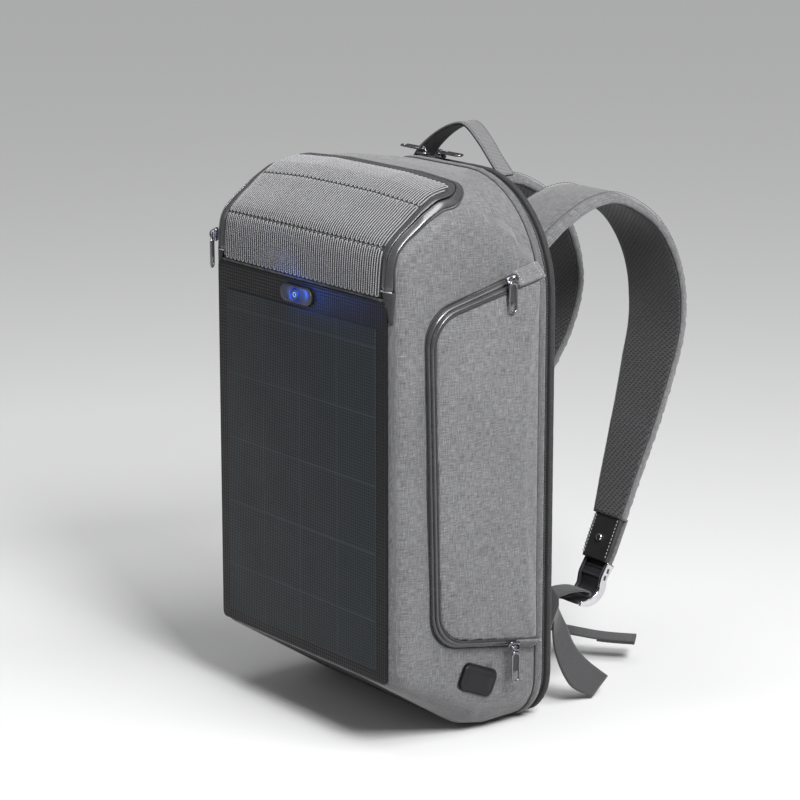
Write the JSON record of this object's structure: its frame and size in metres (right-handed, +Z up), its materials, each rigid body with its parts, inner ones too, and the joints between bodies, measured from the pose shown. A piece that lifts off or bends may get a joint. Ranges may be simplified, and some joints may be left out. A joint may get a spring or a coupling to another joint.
{
  "type": "solar backpack",
  "caption": "Boxy laptop backpack with a solar laminate on its front, a zipped lid above it, zipped side pockets, a clamshell back and padded shoulder straps.",
  "frame": {"origin": "centre line of the flat part of the base, on the standing plane", "axes": "+Z up, +Y from the solar front towards the wearer's back, +X to the right of a viewer facing the solar panel"},
  "size_m": [0.295, 0.3507, 0.507],
  "materials": {
    "grey_fabric": "heathered woven polyester",
    "black_fabric": "matt woven nylon",
    "foam_fabric": "air mesh over foam",
    "flap_fabric": "woven with raised serpentine lines",
    "webbing": "ribbed webbing",
    "zip_tape": "coated zip tape, satin",
    "base_rubber": "coated base fabric",
    "solar_film": "pebbled laminate",
    "solar_cell": "dark cells under pebbled film",
    "black_plastic": "fine grain",
    "button_plastic": "satin",
    "button_lens": "blue light ring",
    "rubber_cover": "smooth moulded rubber",
    "gunmetal": "dark nickel plate",
    "hook_metal": "bright nickel plate",
    "leather": "black smooth leather"
  },
  "bodies": {
    "bag": {"main_shell": "grey_fabric", "base_panel": "base_rubber", "front_divider": "black_fabric", "solar_panel": "solar_film", "solar_cells": "solar_cell", "button_pod": "black_plastic", "button_light": "button_lens", "charge_controller": "black_plastic", "power_lead": "rubber_cover", "usb_port": "black_plastic", "flap_zip_body_half": "zip_tape", "front_rim_welt": "grey_fabric", "main_zip_front_half": "zip_tape", "pocket_zip_inner_right": "zip_tape", "pocket_zip_inner_left": "zip_tape", "pocket_liner_right": "black_fabric", "pocket_liner_left": "black_fabric"},
    "back_half": {"back_panel": "foam_fabric", "back_pads": "foam_fabric", "laptop_sleeve": "black_fabric", "main_zip_rear_half": "zip_tape", "rear_rim_welt": "black_fabric", "carry_handle": "webbing", "strap_rivets": "hook_metal", "anchor_tabs": "webbing", "webbing_tail_right": "webbing", "webbing_tail_left": "webbing", "shoulder_strap_right": "grey_fabric", "strap_lining_right": "foam_fabric", "strap_end_right": "leather", "webbing_loop_right": "webbing", "shoulder_strap_left": "grey_fabric", "strap_lining_left": "foam_fabric", "strap_end_left": "leather", "webbing_loop_left": "webbing"},
    "flap": {"flap_panel": "flap_fabric", "flap_lining": "black_fabric", "flap_zip_lid_half": "zip_tape"},
    "power_button": {"power_button": "button_plastic"},
    "usb_cover": {"usb_cover": "rubber_cover"},
    "flap_slider": {"flap_slider": "gunmetal"},
    "flap_pull": {"flap_pull": "gunmetal"},
    "main_slider_left": {"main_slider_left": "gunmetal"},
    "main_pull_left": {"main_pull_left": "gunmetal"},
    "main_slider_right": {"main_slider_right": "gunmetal"},
    "main_pull_right": {"main_pull_right": "gunmetal"},
    "pocket_right": {"pocket_panel_right": "grey_fabric", "pocket_zip_outer_right": "zip_tape"},
    "pocket_slider_top_right": {"pocket_slider_top_right": "gunmetal"},
    "pocket_pull_top_right": {"pocket_pull_top_right": "gunmetal"},
    "pocket_slider_foot_right": {"pocket_slider_foot_right": "gunmetal"},
    "pocket_pull_foot_right": {"pocket_pull_foot_right": "gunmetal"},
    "strap_hook_right": {"strap_hook_right": "hook_metal"},
    "pocket_left": {"pocket_panel_left": "grey_fabric", "pocket_zip_outer_left": "zip_tape"},
    "pocket_slider_top_left": {"pocket_slider_top_left": "gunmetal"},
    "pocket_pull_top_left": {"pocket_pull_top_left": "gunmetal"},
    "pocket_slider_foot_left": {"pocket_slider_foot_left": "gunmetal"},
    "pocket_pull_foot_left": {"pocket_pull_foot_left": "gunmetal"},
    "strap_hook_left": {"strap_hook_left": "hook_metal"}
  },
  "joints": [
    {"name": "back_open", "type": "hinge", "parent": "bag", "child": "back_half", "pos_m": [0, 0.03015, 0], "axis": [-1, 0, 0], "range_deg": [0, 90]},
    {"name": "flap_open", "type": "hinge", "parent": "bag", "child": "flap", "pos_m": [0, -0.1316, 0.39], "axis": [1, 0, 0], "range_deg": [0, 120]},
    {"name": "button_press", "type": "slide", "parent": "bag", "child": "power_button", "axis": [0, 1, 0], "range_m": [0, 0.001], "stiffness_N_per_m": 600},
    {"name": "usb_cover_open", "type": "hinge", "parent": "bag", "child": "usb_cover", "pos_m": [0.1323, -0.0389, 0.06366], "axis": [0, -0.9205, 0.3907], "range_deg": [0, 90]},
    {"name": "main_slider_left_run", "type": "hinge", "parent": "bag", "child": "main_slider_left", "pos_m": [-0.037, 0.03015, 0.377], "axis": [0, -1, 0], "range_deg": [0, 80]},
    {"name": "main_pull_left_lift", "type": "hinge", "parent": "main_slider_left", "child": "main_pull_left", "pos_m": [-0.04, 0.03015, 0.4791], "axis": [0, 1, 0], "range_deg": [0, 90]},
    {"name": "main_slider_right_run", "type": "slide", "parent": "bag", "child": "main_slider_right", "axis": [1, 0, 0], "range_m": [0, 0.05]},
    {"name": "main_pull_right_lift", "type": "hinge", "parent": "main_slider_right", "child": "main_pull_right", "pos_m": [-0.016, 0.03015, 0.4791], "axis": [0, -1, 0], "range_deg": [0, 90]},
    {"name": "flap_slider_run", "type": "slide", "parent": "bag", "child": "flap_slider", "axis": [0, 0, 1], "range_m": [0, 0.015]},
    {"name": "flap_pull_lift", "type": "hinge", "parent": "flap_slider", "child": "flap_pull", "pos_m": [-0.13064, -0.13147, 0.408], "axis": [-0.6428, 0.766, 0], "range_deg": [0, 120]},
    {"name": "pocket_right_open", "type": "hinge", "parent": "bag", "child": "pocket_right", "pos_m": [0.143, 0.016, 0.24], "axis": [0, 0, 1], "range_deg": [0, 60]},
    {"name": "pocket_slider_top_right_run", "type": "slide", "parent": "pocket_right", "child": "pocket_slider_top_right", "axis": [0, -0.9655, -0.2603], "range_m": [0, 0.042]},
    {"name": "pocket_pull_top_right_lift", "type": "hinge", "parent": "pocket_slider_top_right", "child": "pocket_pull_top_right", "pos_m": [0.1458, -0.01904, 0.3987], "axis": [0, -0.9655, -0.2603], "range_deg": [0, 90]},
    {"name": "pocket_slider_foot_right_run", "type": "slide", "parent": "pocket_right", "child": "pocket_slider_foot_right", "axis": [0, -0.9864, 0.1644], "range_m": [0, 0.042]},
    {"name": "pocket_pull_foot_right_lift", "type": "hinge", "parent": "pocket_slider_foot_right", "child": "pocket_pull_foot_right", "pos_m": [0.1458, -0.01266, 0.07972], "axis": [0, -0.9864, 0.1644], "range_deg": [0, 90]},
    {"name": "hook_right_swing", "type": "hinge", "parent": "back_half", "child": "strap_hook_right", "pos_m": [0.098, 0.12, 0.119], "axis": [1, 0, 0], "range_deg": [0, 20]},
    {"name": "pocket_left_open", "type": "hinge", "parent": "bag", "child": "pocket_left", "pos_m": [-0.143, 0.016, 0.24], "axis": [0, 0, -1], "range_deg": [0, 60]},
    {"name": "pocket_slider_top_left_run", "type": "slide", "parent": "pocket_left", "child": "pocket_slider_top_left", "axis": [0, -0.9655, -0.2603], "range_m": [0, 0.042]},
    {"name": "pocket_pull_top_left_lift", "type": "hinge", "parent": "pocket_slider_top_left", "child": "pocket_pull_top_left", "pos_m": [-0.1458, -0.01904, 0.3987], "axis": [0, 0.9655, 0.2603], "range_deg": [0, 90]},
    {"name": "pocket_slider_foot_left_run", "type": "slide", "parent": "pocket_left", "child": "pocket_slider_foot_left", "axis": [0, -0.9864, 0.1644], "range_m": [0, 0.042]},
    {"name": "pocket_pull_foot_left_lift", "type": "hinge", "parent": "pocket_slider_foot_left", "child": "pocket_pull_foot_left", "pos_m": [-0.1458, -0.01266, 0.07972], "axis": [0, 0.9864, -0.1644], "range_deg": [0, 90]},
    {"name": "hook_left_swing", "type": "hinge", "parent": "back_half", "child": "strap_hook_left", "pos_m": [-0.098, 0.12, 0.119], "axis": [1, 0, 0], "range_deg": [0, 20]}
  ]
}
